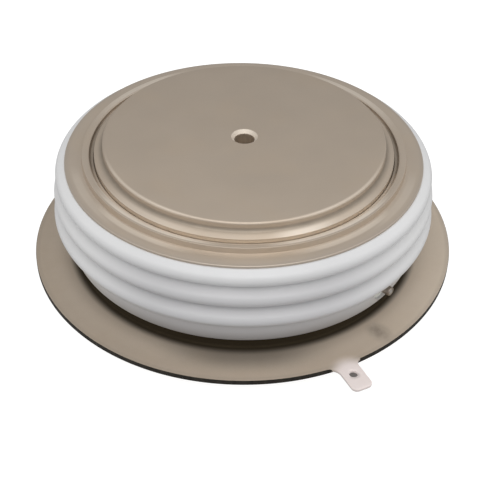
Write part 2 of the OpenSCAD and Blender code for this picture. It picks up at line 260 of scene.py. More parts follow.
# ---------------------------------------------------------------- welded sheets
def rim_outline(step=0.5):
    """Points and outward normals of the upper sheet's edge: the rim, and the tab
    with its round corners and root fillets."""
    h, c = TAB_W / 2, 1.0

    def root(f):
        """Root fillet: tangent to the rim's circle and to the tab's side."""
        fy = h + f
        fx = math.sqrt((RIM_R + f) ** 2 - fy ** 2)
        return f, fx, fy, math.atan2(fy, fx)

    fl, flx, fly, al = root(1.8)
    fr, frx, fry, ar = root(1.2)
    pts, nor = [], []

    def add_arc(cx, cy, r, a0, a1, n, out=1.0):
        for i in range(n + 1):
            a = a0 + (a1 - a0) * i / n
            pts.append((cx + r * math.cos(a), cy + r * math.sin(a)))
            nor.append((out * math.cos(a), out * math.sin(a)))

    def add_line(p, q, n):
        for i in range(1, n):
            pts.append((p[0] + (q[0] - p[0]) * i / n, p[1] + (q[1] - p[1]) * i / n))
            nor.append(nor[-1])

    add_arc(flx, -fly, fl, math.pi - al, math.pi / 2, 12, -1.0)      # fillet on the -y side, from the rim to the side
    add_line((flx, -h), (TAB_END - c, -h), 8)
    add_arc(TAB_END - c, -h + c, c, -math.pi / 2, 0, 10)
    add_line((TAB_END, -h + c), (TAB_END, h - c), 4)
    add_arc(TAB_END - c, h - c, c, 0, math.pi / 2, 10)
    add_line((TAB_END - c, h), (frx, h), 8)
    add_arc(frx, fry, fr, -math.pi / 2, -math.pi + ar, 10, -1.0)
    n = int(2 * math.pi * RIM_R / step)
    add_arc(0, 0, RIM_R, ar + 1e-3, 2 * math.pi - al - 1e-3, n)
    return np.array(pts), np.array(nor)


def sway(x, y):
    """The thin welded rim is bent a little: lower on the left, higher on the right,
    by up to half a millimetre, and slightly uneven."""
    r, a = math.hypot(x, y), math.atan2(y, x)
    w = max(0.0, min(1.0, (r - 31.0) / 6.5))
    w = w * w * (3 - 2 * w)
    return w * (0.45 * math.cos(a) + 0.12 * math.sin(a) + 0.05 * math.sin(2 * a + 0.6) + 0.035 * math.sin(3 * a + 2.1) + 0.02 * math.sin(7 * a))


def weld_flange():
    b = 0.05
    pts, nor = rim_outline()
    keep = [0]
    for i in range(1, len(pts)):
        if np.linalg.norm(pts[i] - pts[keep[-1]]) > 1e-3:
            keep.append(i)
    pts, nor = pts[keep], nor[keep]
    m = len(pts)
    hole = [(TAB_HOLE_R + TAB_HOLE_D / 2 * math.cos(2 * math.pi * i / 40), TAB_HOLE_D / 2 * math.sin(2 * math.pi * i / 40)) for i in range(40)]
    hole_in = [(TAB_HOLE_R + (TAB_HOLE_D / 2 + b) * math.cos(2 * math.pi * i / 40), (TAB_HOLE_D / 2 + b) * math.sin(2 * math.pi * i / 40)) for i in range(40)]
    r_in, n_in = STEP_R + 0.4, 384
    inner = [(r_in * math.cos(2 * math.pi * i / n_in), r_in * math.sin(2 * math.pi * i / n_in)) for i in range(n_in)]
    top_edge = pts - b * nor
    free = []
    for k, r in enumerate(np.linspace(r_in + 0.6, RIM_R - 0.6, 12)):
        for i in range(300):
            a = 2 * math.pi * (i + 0.5 * (k % 2)) / 300
            free.append((r * math.cos(a), r * math.sin(a)))
    for x in np.arange(RIM_R, TAB_END - 0.3, 0.4):
        for y in np.arange(-1.4, 1.5, 0.4):
            if math.hypot(x - TAB_HOLE_R, y) > TAB_HOLE_D / 2 + 0.3:
                free.append((x, y))
    flat = [Vector(p) for p in list(map(tuple, top_edge)) + hole_in + inner + free]
    e0, h0, i0 = 0, m, m + 40
    edges = [(i, (i + 1) % m) for i in range(m)] + [(h0 + i, h0 + (i + 1) % 40) for i in range(40)] + [(i0 + i, i0 + (i + 1) % n_in) for i in range(n_in)]
    co, _, tri, orig, _, _ = delaunay_2d_cdt(flat, edges, [], 1, 1e-7)
    where = {}
    for k, o in enumerate(orig):
        for x in o:
            where[x] = k
    keep_tri = []
    for t in tri:
        c = sum((co[i] for i in t), Vector((0, 0))) / len(t)
        if c.length > r_in * math.cos(math.pi / n_in) - 1e-4 and math.hypot(c.x - TAB_HOLE_R, c.y) > TAB_HOLE_D / 2 + b * 0.5:
            keep_tri.append(tuple(t))
    nv = len(co)
    verts = [(v.x, v.y, RIM_Z) for v in co] + [(v.x, v.y, Z_WELD) for v in co]
    faces = list(keep_tri) + [tuple(nv + i for i in reversed(t)) for t in keep_tri]

    def strip(loop_a, loop_b):
        n = len(loop_a)
        for i in range(n):
            j = (i + 1) % n
            faces.append((loop_a[i], loop_a[j], loop_b[j], loop_b[i]))

    def ring(points, z):
        s = len(verts)
        verts.extend((float(p[0]), float(p[1]), z) for p in points)
        return list(range(s, s + len(points)))

    bev = 0.3 * b
    up = [where[i] for i in range(m)]
    dn = [nv + i for i in up]
    strip(up, ring(pts - bev * nor, RIM_Z - bev)); a1 = list(range(len(verts) - m, len(verts)))
    a2 = ring(pts, RIM_Z - b); strip(a1, a2)
    a3 = ring(pts, Z_WELD + b); strip(a2, a3)
    a4 = ring(pts - bev * nor, Z_WELD + bev); strip(a3, a4); strip(a4, dn)
    hu = [where[h0 + i] for i in range(40)]
    hd = [nv + i for i in hu]
    h1 = ring(hole, RIM_Z - b); strip(hu, h1)
    h2 = ring(hole, Z_WELD + b); strip(h1, h2); strip(h2, hd)
    # turn the tab to its place
    c, s = math.cos(TAB_AZ), math.sin(TAB_AZ)
    verts = [(x * c - y * s, x * s + y * c, z) for x, y, z in verts]
    # the step up to the ceramic shares the flat ring's inner edge
    step = arc(STEP_R + 0.4, RIM_Z + 0.4, 0.4, 0.4, 270, 180, 8)[1:]
    step += arc(STEP_R - 0.4, Z_CER_BOT - 0.4, 0.4, 0.4, 0, 90, 8)
    step += [(BORE_R - 0.8, Z_CER_BOT), (BORE_R - 0.8, Z_CER_BOT - SHEET)]
    step += [(STEP_R - SHEET - 0.25, Z_CER_BOT - SHEET), (STEP_R - SHEET, Z_CER_BOT - SHEET - 0.25), (STEP_R - SHEET, Z_WELD + 0.05), (STEP_R - SHEET + 0.05, Z_WELD)]
    ang = [math.atan2(p[1] * c + p[0] * s, p[0] * c - p[1] * s) for p in inner]
    prev = [where[i0 + i] for i in range(n_in)]
    first = [nv + i for i in prev]
    for r, z in step:
        s0 = len(verts)
        verts.extend((r * math.cos(a), r * math.sin(a), z) for a in ang)
        now = list(range(s0, s0 + n_in))
        strip(prev, now)
        prev = now
    strip(prev, first)
    verts = [(x, y, z + sway(x, y)) for x, y, z in verts]
    used = sorted({i for f in faces for i in f})
    remap = {o: k for k, o in enumerate(used)}
    return finish_mesh("cathode_weld_flange_sheet", [verts[i] for i in used], [tuple(remap[i] for i in f) for f in faces], sharp=40)


flange = weld_flange()

lid_prof = [(SHEET_R + r, LEDGE_H - z) for r, z in bead_out] + flare(SHEET_R + 3.0, Z_LID - 0.12, SHEET_R + 4.0, Z_LID)
lid_prof += [(r, Z_LID) for r in np.linspace(SHEET_R + 4.6, RIM_R, 16)] + [(r, Z_WELD) for r in np.linspace(RIM_R, SHEET_R + 2.95, 16)]
lid_prof += [(SHEET_R + 2.6, Z_WELD - 0.22)] + [(SHEET_R + r, LEDGE_H - z) for r, z in bead_in]
lid = lathe("lid_flange_sheet", soften(lid_prof, 0.06, True, n=4, limit=28), True)
for v in lid.data.vertices:
    v.co.z += sway(v.co.x / MM, v.co.y / MM) * MM

# ---------------------------------------------------------------- gate tube
tube_prof = [(TUBE_BORE, BORE_R - 0.7), (ROOT_R, BORE_R - 0.7), (ROOT_R, SEAT_R), (TUBE_R, SEAT_R)]
tube_prof += [(TUBE_R, z) for z in np.linspace(SEAT_R + 0.3, TUBE_END - 0.75, 6)]
tube_prof += [(TUBE_R - 0.01, TUBE_END - 0.4), (TUBE_R - 0.04, TUBE_END - 0.16), (TUBE_R - 0.1, TUBE_END - 0.04), (TUBE_R - 0.19, TUBE_END), (TUBE_BORE, TUBE_END - 0.01)]
tube_prof += [(TUBE_BORE, z) for z in np.linspace(TUBE_END - 0.3, BORE_R - 0.2, 8)]
tube = on_gate(lathe("gate_tube_stub", soften(tube_prof, 0.05, True, n=3, limit=40), True, seg=72))
seal_prof = [(0.22, TUBE_END - 2.2), (TUBE_BORE, TUBE_END - 2.2), (TUBE_BORE, TUBE_END - 0.09), (0.44, TUBE_END - 0.06), (0.34, TUBE_END - 0.04), (0.2, TUBE_END - 0.025), (0.0, TUBE_END - 0.02)]
seal_prof = [(0.0, TUBE_END - 0.5), (0.22, TUBE_END - 0.5)] + seal_prof
seal = on_gate(lathe("gate_tube_solder", soften(seal_prof, 0.03, False, n=2, limit=40), False, seg=48))


# ---------------------------------------------------------------- materials
class Shader:
    """A principled material with helpers for the nodes that vary it."""

    def __init__(self, name, **sockets):
        self.m = bpy.data.materials.new(name)
        self.m.use_nodes = True
        self.t = self.m.node_tree
        self.t.nodes.clear()
        self.out = self.t.nodes.new("ShaderNodeOutputMaterial")
        self.b = self.t.nodes.new("ShaderNodeBsdfPrincipled")
        self.t.links.new(self.b.outputs[0], self.out.inputs[0])
        for k, v in sockets.items():
            s = self.b.inputs[k.replace("_", " ")]
            s.default_value = (*v, 1.0) if isinstance(v, tuple) and len(v) == 3 else v
        tc = self.t.nodes.new("ShaderNodeTexCoord")
        mp = self.t.nodes.new("ShaderNodeMapping")
        mp.inputs["Scale"].default_value = (1000, 1000, 1000)
        self.t.links.new(tc.outputs["Object"], mp.inputs["Vector"])
        self.mm = mp.outputs[0]
        self.height = None

    def put(self, socket, value):
        if isinstance(value, bpy.types.NodeSocket):
            self.t.links.new(value, socket)
        else:
            socket.default_value = value

    def math(self, op, a, b=0.0, c=None, clamp=False):
        n = self.t.nodes.new("ShaderNodeMath")
        n.operation, n.use_clamp = op, clamp
        self.put(n.inputs[0], a)
        self.put(n.inputs[1], b)
        if c is not None:
            self.put(n.inputs[2], c)
        return n.outputs[0]

    def noise(self, scale, detail=4.0, rough=0.55, vec=None, stretch=None):
        n = self.t.nodes.new("ShaderNodeTexNoise")
        v = vec or self.mm
        if stretch:
            mp = self.t.nodes.new("ShaderNodeMapping")
            mp.inputs["Scale"].default_value = stretch
            self.t.links.new(v, mp.inputs["Vector"])
            v = mp.outputs[0]
        self.t.links.new(v, n.inputs["Vector"])
        n.inputs["Scale"].default_value = scale
        n.inputs["Detail"].default_value = detail
        n.inputs["Roughness"].default_value = rough
        return n.outputs[0]

    def span(self, value, a, b, lo=0.0, hi=1.0, smooth=False):
        n = self.t.nodes.new("ShaderNodeMapRange")
        n.interpolation_type = "SMOOTHSTEP" if smooth else "LINEAR"
        n.clamp = True
        self.put(n.inputs[0], value)
        for i, x in enumerate((a, b, lo, hi)):
            n.inputs[1 + i].default_value = x
        return n.outputs[0]

    def blend(self, fac, a, b):
        n = self.t.nodes.new("ShaderNodeMix")
        n.data_type = "RGBA"
        self.put(n.inputs[0], fac)
        for s, x in ((n.inputs[6], a), (n.inputs[7], b)):
            self.put(s, (*x, 1.0) if isinstance(x, tuple) else x)
        return n.outputs[2]

    def xyz(self):
        n = self.t.nodes.new("ShaderNodeSeparateXYZ")
        self.t.links.new(self.mm, n.inputs[0])
        return n.outputs

    def radius(self):
        x, y, _ = self.xyz()
        return self.math("SQRT", self.math("ADD", self.math("MULTIPLY", x, x), self.math("MULTIPLY", y, y)))

    def spot(self, x, y, rx, ry, turn=0.0, edge=0.5):
        """1 inside an ellipse on the plan, with a soft edge."""
        px, py, _ = self.xyz()
        c, s = math.cos(turn), math.sin(turn)
        dx, dy = self.math("SUBTRACT", px, x), self.math("SUBTRACT", py, y)
        u = self.math("ADD", self.math("MULTIPLY", dx, c / rx), self.math("MULTIPLY", dy, s / rx))
        v = self.math("ADD", self.math("MULTIPLY", dx, -s / ry), self.math("MULTIPLY", dy, c / ry))
        d = self.math("SQRT", self.math("ADD", self.math("MULTIPLY", u, u), self.math("MULTIPLY", v, v)))
        return self.span(d, 1.0 + edge, 1.0 - edge, 0, 1, smooth=True)

    def bump(self, height, strength, distance_mm):
        n = self.t.nodes.new("ShaderNodeBump")
        n.inputs["Strength"].default_value = strength
        n.inputs["Distance"].default_value = distance_mm * MM
        self.put(n.inputs["Height"], height)
        if self.height is not None:
            self.t.links.new(self.height, n.inputs["Normal"])
        self.height = n.outputs[0]
        self.t.links.new(self.height, self.b.inputs["Normal"])

    def colour(self, value):
        self.put(self.b.inputs["Base Color"], value)

    def rough(self, value):
        self.put(self.b.inputs["Roughness"], value)


def nickel(name, tone, rough, turned=False):
    """Matt nickel plate: faintly cloudy tone, uneven sheen and a fine grain."""
    s = Shader(name, Metallic=1.0)
    lo = tuple(c * 0.982 for c in tone)
    hi = tuple(min(1.0, c * 1.018) for c in tone)
    c = s.blend(s.span(s.noise(0.07, 3.0, 0.5), 0.35, 0.65), lo, hi)
    c = s.blend(s.span(s.noise(0.13, 2.0, 0.5), 0.5, 0.72, 0, 0.5), c, (tone[0] * 1.015, tone[1] * 0.995, tone[2] * 0.96))
    c = s.blend(s.span(s.noise(2.4, 3.0, 0.7), 0.68, 0.8, 0, 0.10), c, tuple(x * 0.8 for x in tone))
    s.colour(c)
    s.base = c
    s.sheen = s.math("ADD", s.span(s.noise(0.2, 4.0, 0.6), 0.3, 0.7, rough - 0.03, rough + 0.03), s.span(s.noise(6.0, 2.0, 0.5), 0.3, 0.7, -0.015, 0.015))
    s.rough(s.sheen)
    s.bump(s.noise(9.0, 3.0, 0.6), 0.05, 0.02)
    if turned:
        wave = s.math("SINE", s.math("ADD", s.math("MULTIPLY", s.radius(), 21.0), s.math("MULTIPLY", s.noise(0.3, 2.0), 6.0)))
        s.bump(wave, 0.015, 0.01)
    return s


NICKEL = (0.60, 0.515, 0.425)
SHEET_NICKEL = (0.60, 0.52, 0.435)
DULL_NICKEL = (0.56, 0.49, 0.41)

pole_mat = nickel("satin_nickel_pole", NICKEL, 0.60, turned=True)
px, py, pz = pole_mat.xyz()
from_end = pole_mat.math("SUBTRACT", HEIGHT / 2, pole_mat.math("ABSOLUTE", pole_mat.math("SUBTRACT", pz, HEIGHT / 2)))
# painted shade at the base of the wall and in the groove, painted shade darker towards the back, and a painted
# highlight in the countersinks of the centring holes, which are also rougher
painted_foot_shade = pole_mat.math("MULTIPLY", pole_mat.span(from_end, 0.75, 1.4, 0, 0.70, smooth=True), pole_mat.span(from_end, 1.85, 1.4, 0, 1, smooth=True))
painted_foot_shade = pole_mat.math("MULTIPLY", painted_foot_shade, pole_mat.math("MULTIPLY", pole_mat.span(pole_mat.radius(), POLE_R - 0.4, POLE_R - 0.05), pole_mat.span(pole_mat.noise(0.5, 3.0), 0.3, 0.7, 0.9, 1.05)))
pole_mat.base = pole_mat.blend(painted_foot_shade, pole_mat.base, (0.24, 0.205, 0.165))
# painted shade in the groove, strongest at the sides
painted_groove_shade = pole_mat.math("MULTIPLY", pole_mat.span(from_end, 2.1, 2.7, 0, 1, smooth=True), pole_mat.span(pole_mat.math("ABSOLUTE", py), 4.0, 11.0, 0.55, 0.0, smooth=True))
pole_mat.base = pole_mat.blend(painted_groove_shade, pole_mat.base, (0.24, 0.205, 0.165))
# painted shade: darker towards the back
pole_mat.base = pole_mat.blend(pole_mat.span(py, -22.0, 26.0, 0, 0.34), pole_mat.base, (0.40, 0.345, 0.29))
# painted highlight on the rounded edge, front left and front right
painted_edge_highlight = pole_mat.math("MULTIPLY", pole_mat.span(from_end, 0.5, 0.3, 0, 0.4, smooth=True), pole_mat.span(pole_mat.radius(), POLE_R - 0.6, POLE_R - 0.35, smooth=True))
painted_edge_highlight = pole_mat.math("MULTIPLY", painted_edge_highlight, pole_mat.math("MULTIPLY", pole_mat.span(pole_mat.math("ABSOLUTE", px), 5.0, 13.0, smooth=True), pole_mat.span(py, -5.0, -13.0, smooth=True)))
pole_mat.base = pole_mat.blend(painted_edge_highlight, pole_mat.base, (0.90, 0.81, 0.70))
# painted highlight on the shoulder, more on the right
painted_shoulder_highlight = pole_mat.math("MULTIPLY", pole_mat.span(px, 3.0, 9.0, 0, 0.66, smooth=True), pole_mat.span(px, 16.0, 10.5, 0.3, 1, smooth=True))
painted_shoulder_highlight = pole_mat.math("ADD", painted_shoulder_highlight, pole_mat.span(px, -5.0, -13.0, 0, 0.26, smooth=True))
painted_shoulder_highlight = pole_mat.math("MULTIPLY", painted_shoulder_highlight, pole_mat.math("MULTIPLY", pole_mat.span(from_end, 1.5, 1.8, smooth=True), pole_mat.span(from_end, 2.25, 2.08, 0, 1, smooth=True)))
painted_shoulder_highlight = pole_mat.math("MULTIPLY", painted_shoulder_highlight, pole_mat.span(py, -11.0, -18.0, smooth=True))
pole_mat.base = pole_mat.blend(painted_shoulder_highlight, pole_mat.base, (0.95, 0.87, 0.77))
# painted light in the groove in front
painted_groove_light = pole_mat.math("MULTIPLY", pole_mat.span(from_end, 2.1, 2.35, 0, 0.22, smooth=True), pole_mat.span(py, -8.0, -17.0, smooth=True))
pole_mat.base = pole_mat.blend(painted_groove_light, pole_mat.base, (0.94, 0.87, 0.78))
# painted highlight: the countersinks painted paler, and also made rougher
painted_mouth_light = pole_mat.math("MULTIPLY", pole_mat.span(pole_mat.radius(), 2.24, 2.32, 1, 0), pole_mat.span(from_end, 0.5, 0.8, 1, 0))
pole_mat.base = pole_mat.blend(painted_mouth_light, pole_mat.base, (0.80, 0.73, 0.645))
pole_mat.colour(pole_mat.base)
pole_mat.rough(pole_mat.math("ADD", pole_mat.sheen, pole_mat.math("MULTIPLY", painted_mouth_light, 0.12)))

sheet_mat = nickel("satin_nickel_sheet", SHEET_NICKEL, 0.58)
sr = sheet_mat.radius()
sx, sy, _ = sheet_mat.xyz()
# painted shade in the groove, painted highlights on the bead towards the back and in front, and a darker, greyer brim
# edge
painted_groove_shade = sheet_mat.math("MULTIPLY", sheet_mat.span(sr, 26.8, 26.5, 0, 1, smooth=True), sheet_mat.span(sheet_mat.math("ABSOLUTE", sy), 4.0, 11.0, 0.5, 0.0, smooth=True))
sheet_mat.base = sheet_mat.blend(painted_groove_shade, sheet_mat.base, (0.24, 0.205, 0.165))
# painted highlight on the bead towards the back, and painted light on its inner side in front
painted_bead_highlight = sheet_mat.math("MULTIPLY", sheet_mat.span(sr, 26.75, 27.05, 0, 0.6, smooth=True), sheet_mat.span(sr, 28.05, 27.8, 0, 1, smooth=True))
painted_bead_highlight = sheet_mat.math("MULTIPLY", painted_bead_highlight, sheet_mat.math("MULTIPLY", sheet_mat.span(sy, 4.0, 18.0, 0, 1, smooth=True), sheet_mat.span(sheet_mat.math("ABSOLUTE", sx), 10.0, 17.0, 0, 1, smooth=True)))
painted_bead_highlight = sheet_mat.math("ADD", painted_bead_highlight, sheet_mat.math("MULTIPLY", sheet_mat.span(sr, 27.05, 26.8, 0, 0.9, smooth=True), sheet_mat.span(sy, -8.0, -17.0, 0, 1, smooth=True)))
# painted highlights on the outer flank and on the brim, front left and front right
painted_flank_highlight = sheet_mat.math("MULTIPLY", sheet_mat.span(sr, 28.05, 28.4, 0, 0.7, smooth=True), sheet_mat.span(sr, 29.4, 28.9, 0, 1, smooth=True))
painted_flank_highlight = sheet_mat.math("MULTIPLY", painted_flank_highlight, sheet_mat.math("MULTIPLY", sheet_mat.span(sheet_mat.math("ABSOLUTE", sx), 6.0, 14.0, smooth=True), sheet_mat.span(sy, -14.0, -20.0, smooth=True)))
painted_brim_highlight = sheet_mat.math("MULTIPLY", sheet_mat.span(sr, 28.3, 28.8, 0, 0.3, smooth=True), sheet_mat.span(sr, 30.1, 29.6, 0, 1, smooth=True))
painted_brim_highlight = sheet_mat.math("MULTIPLY", painted_brim_highlight, sheet_mat.math("MULTIPLY", sheet_mat.span(sheet_mat.math("ABSOLUTE", sx), 19.0, 24.0, smooth=True), sheet_mat.span(sy, -4.0, -10.0, smooth=True)))
painted_bead_highlight = sheet_mat.math("ADD", painted_bead_highlight, sheet_mat.math("MAXIMUM", painted_flank_highlight, painted_brim_highlight))
sheet_mat.base = sheet_mat.blend(painted_bead_highlight, sheet_mat.base, (0.86, 0.785, 0.69))
# painted highlight on the crest, front left and front right
painted_crest_highlight = sheet_mat.math("MULTIPLY", sheet_mat.span(sr, 26.55, 26.8, 0, 0.9, smooth=True), sheet_mat.span(sr, 27.7, 27.35, 0, 1, smooth=True))
painted_crest_highlight = sheet_mat.math("MULTIPLY", painted_crest_highlight, sheet_mat.math("MULTIPLY", sheet_mat.span(sheet_mat.math("ABSOLUTE", sx), 2.0, 9.0, 0.05, 1, smooth=True), sheet_mat.span(sy, -12.0, -19.0, smooth=True)))
sheet_mat.base = sheet_mat.blend(painted_crest_highlight, sheet_mat.base, (0.96, 0.88, 0.78))
# the brim's outer edge painted darker and greyer
sheet_mat.base = sheet_mat.blend(sheet_mat.span(sr, 30.0, 30.8, 0, 0.22, smooth=True), sheet_mat.base, (0.42, 0.39, 0.36))
sheet_mat.colour(sheet_mat.base)

flange_mat = nickel("matt_nickel_rim", SHEET_NICKEL, 0.84)
fr = flange_mat.radius()
fx, fy, fz = flange_mat.xyz()
# painted light on the right of the plate and on a band round the ceramic, and painted shade on the left
flange_mat.base = flange_mat.blend(flange_mat.span(fx, 14.0, 37.0, 0.1, 0.75, smooth=True), flange_mat.base, (0.775, 0.70, 0.605))
flange_mat.base = flange_mat.blend(flange_mat.span(fr, 36.4, 33.0, 0, 0.22, smooth=True), flange_mat.base, (0.89, 0.81, 0.71))
flange_mat.base = flange_mat.blend(flange_mat.span(fx, -8.0, -20.0, 0, 0.2, smooth=True), flange_mat.base, (0.42, 0.375, 0.315))
# painted shade in the corner under the ceramic, and a wider painted shade in front of it
painted_front_shade = flange_mat.math("MULTIPLY", flange_mat.span(flange_mat.math("ABSOLUTE", flange_mat.math("SUBTRACT", fx, 0.5)), 17.5, 3.0, 0, 1, smooth=True), flange_mat.span(fr, 36.4, 32.6, 0, 0.46, smooth=True))
painted_front_shade = flange_mat.math("MULTIPLY", painted_front_shade, flange_mat.span(fy, -10.0, -20.0))
flange_mat.base = flange_mat.blend(painted_front_shade, flange_mat.base, (0.10, 0.085, 0.062))
flange_mat.base = flange_mat.blend(flange_mat.span(fr, 31.9, 30.3, 0, 1, smooth=True), flange_mat.base, (0.085, 0.066, 0.042))
# darker towards the rim's edge
flange_mat.base = flange_mat.blend(flange_mat.span(fr, 36.5, 37.3, 0, 0.3, smooth=True), flange_mat.base, (0.42, 0.37, 0.31))
# a dark patch below the gate tube: a painted reflection of the tube
painted_tube_reflection = flange_mat.math("MULTIPLY", flange_mat.spot(22.8, -26.0, 1.9, 1.3, -0.9, 0.85), flange_mat.span(flange_mat.noise(0.7, 3.0), 0.3, 0.6, 0.25, 0.5))
flange_mat.base = flange_mat.blend(painted_tube_reflection, flange_mat.base, (0.24, 0.20, 0.165))
# the tab painted paler than the rim: painted light
tab_c = (40.9 * math.cos(TAB_AZ), 40.9 * math.sin(TAB_AZ))
flange_mat.base = flange_mat.blend(flange_mat.spot(*tab_c, 4.2, 3.2, TAB_AZ, 0.35), flange_mat.base, (0.93, 0.87, 0.85))
flange_mat.colour(flange_mat.base)

lid_mat = nickel("satin_nickel_lid", SHEET_NICKEL, 0.64)

# the cut edge of the two welded sheets painted near black: painted shade
painted_edge_shade_mat = Shader("weld_edge_painted_shade", Metallic=0.6)
painted_edge_shade_mat.colour(painted_edge_shade_mat.blend(painted_edge_shade_mat.span(painted_edge_shade_mat.noise(0.8, 4.0), 0.35, 0.7), (0.018, 0.015, 0.011), (0.045, 0.038, 0.028)))
painted_edge_shade_mat.rough(painted_edge_shade_mat.span(painted_edge_shade_mat.noise(2.0, 3.0), 0.3, 0.7, 0.5, 0.7))
painted_edge_shade_mat.bump(painted_edge_shade_mat.noise(5.0, 3.0), 0.15, 0.04)

# white glaze over alumina
glaze = Shader("white_glaze", IOR=1.5)
white = glaze.blend(glaze.span(glaze.noise(0.12, 3.0), 0.35, 0.65), (0.672, 0.672, 0.677), (0.692, 0.692, 0.697))
gz = glaze.xyz()[2]
# painted shade: greyer on the lower sheds and dark at the bottom
white = glaze.blend(glaze.span(gz, 20.2, 18.2, 0, 0.9, smooth=True), white, (0.56, 0.555, 0.565))
white = glaze.blend(glaze.span(gz, 10.0, 7.2, 0, 0.88, smooth=True), white, (0.26, 0.248, 0.242))
# painted light on the flanks, left and right
painted_flank_light = glaze.math("MULTIPLY", glaze.span(glaze.math("ABSOLUTE", glaze.xyz()[0]), 12.0, 30.0, 0, 0.55, smooth=True), glaze.span(gz, 21.4, 19.6, 0.4, 1, smooth=True))
white = glaze.blend(painted_flank_light, white, (0.88, 0.88, 0.87))
# painted light: a pale ring on the seat where the gate tube is let in
ga, gb = math.cos(GATE_AZ), math.sin(GATE_AZ)
gx, gy, _ = glaze.xyz()
along = glaze.math("ADD", glaze.math("MULTIPLY", gx, ga), glaze.math("MULTIPLY", gy, gb))
side = glaze.math("SUBTRACT", glaze.math("MULTIPLY", gy, ga), glaze.math("MULTIPLY", gx, gb))
rise = glaze.math("SUBTRACT", gz, GATE_Z)
off = glaze.math("SQRT", glaze.math("ADD", glaze.math("MULTIPLY", side, side), glaze.math("MULTIPLY", rise, rise)))
painted_seat_light = glaze.math("MULTIPLY", glaze.span(off, 2.28, 2.1), glaze.math("MULTIPLY", glaze.span(along, 30.75, 30.55), glaze.span(along, 30.0, 30.2)))
white = glaze.blend(painted_seat_light, white, (0.90, 0.905, 0.83))
glaze.colour(white)
glaze.rough(glaze.span(glaze.noise(0.35, 3.0), 0.3, 0.7, 0.30, 0.42))
glaze.bump(glaze.noise(1.1, 2.0), 0.04, 0.03)

tube_mat = Shader("drawn_tube_metal", Metallic=1.0)
tube_mat.colour(tube_mat.blend(tube_mat.span(tube_mat.noise(0.9, 4.0), 0.35, 0.65), (0.34, 0.29, 0.245), (0.45, 0.40, 0.345)))
tube_mat.rough(tube_mat.span(tube_mat.noise(2.5, 3.0), 0.3, 0.7, 0.35, 0.5))
tube_mat.bump(tube_mat.noise(7.0, 3.0), 0.12, 0.03)

solder_mat = Shader("dull_solder", Metallic=1.0)
solder_mat.colour(solder_mat.blend(solder_mat.span(solder_mat.noise(2.0, 4.0), 0.35, 0.65), (0.5, 0.49, 0.47), (0.64, 0.63, 0.61)))
solder_mat.rough(solder_mat.span(solder_mat.noise(4.0, 3.0), 0.3, 0.7, 0.4, 0.55))
solder_mat.bump(solder_mat.noise(6.0, 4.0), 0.2, 0.05)


def plain(name, lo, hi, rough, metallic, scale, grain, strength):
    s = Shader(name, Metallic=metallic)
    s.colour(s.blend(s.span(s.noise(scale, 4.0), 0.35, 0.65), lo, hi))
    s.rough(s.span(s.noise(scale * 3, 3.0), 0.3, 0.7, rough - 0.06, rough + 0.06))
    s.bump(s.noise(grain, 3.0), strength, 0.02)
    return s


inner = {
    "anode_silver_shim": plain("soft_silver", (0.80, 0.79, 0.76), (0.88, 0.87, 0.84), 0.32, 1.0, 0.3, 6.0, 0.08),
    "anode_moly_disc": plain("lapped_molybdenum", (0.40, 0.40, 0.42), (0.48, 0.48, 0.50), 0.38, 1.0, 0.4, 10.0, 0.1),
    "silicon_wafer": plain("ground_silicon", (0.20, 0.21, 0.25), (0.28, 0.29, 0.33), 0.3, 0.4, 0.5, 9.0, 0.06),
    "wafer_edge_rubber": plain("cast_edge_rubber", (0.50, 0.15, 0.09), (0.60, 0.21, 0.13), 0.55, 0.0, 0.8, 4.0, 0.12),
    "centring_ring": plain("turned_fluoropolymer", (0.86, 0.85, 0.81), (0.91, 0.90, 0.87), 0.5, 0.0, 0.5, 5.0, 0.1),
    "gate_spring": plain("bright_spring_wire", (0.52, 0.52, 0.54), (0.62, 0.62, 0.64), 0.25, 1.0, 1.5, 12.0, 0.05),
}
for twin, first in (("cathode_moly_disc", "anode_moly_disc"), ("cathode_silver_shim", "anode_silver_shim"), ("gate_pin", "anode_silver_shim"),
                    ("gate_lead", "anode_silver_shim"), ("gate_bush", "centring_ring"), ("gate_guide_washer", "centring_ring"), ("gate_sleeve", "centring_ring")):
    inner[twin] = inner[first]
for name, s in inner.items():
    me = nodes[name].data
    me.materials.clear()
    me.materials.append(s.m)
    for p in me.polygons:
        p.material_index = 0


def dress(obj, shader, node, extra=None):
    obj.data.materials.clear()
    obj.data.materials.append(shader.m)
    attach(obj, "root")
    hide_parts(node)
    if extra:
        mat, test = extra
        obj.data.materials.append(mat.m)
        for p in obj.data.polygons:
            if test(p):
                p.material_index = 1


def rim_edge(p):
    """Faces of the outer cylinder of the welded rim, away from the tab."""
    c = p.center / MM
    r, a = math.hypot(c.x, c.y), math.atan2(c.y, c.x)
    if r < RIM_R - 0.06 or abs(p.normal.z) > 0.97:
        return False
    return abs(math.sin(a - TAB_AZ)) * r > TAB_W / 2 + 0.9 or math.cos(a - TAB_AZ) < 0


dress(anode_pole, pole_mat, "anode_pole")
dress(cathode_pole, pole_mat, "cathode_pole")
dress(diaphragm, sheet_mat, "anode_diaphragm")
dress(ceramic, glaze, "ceramic_ring")
dress(flange, flange_mat, "cathode_weld_flange", (painted_edge_shade_mat, rim_edge))
dress(lid, lid_mat, "lid_flange", (painted_edge_shade_mat, lambda p: math.hypot(p.center.x, p.center.y) / MM > RIM_R - 0.08 and abs(p.normal.z) < 0.97))
dress(tube, tube_mat, "gate_tube")
dress(seal, solder_mat, "gate_tube_seal")

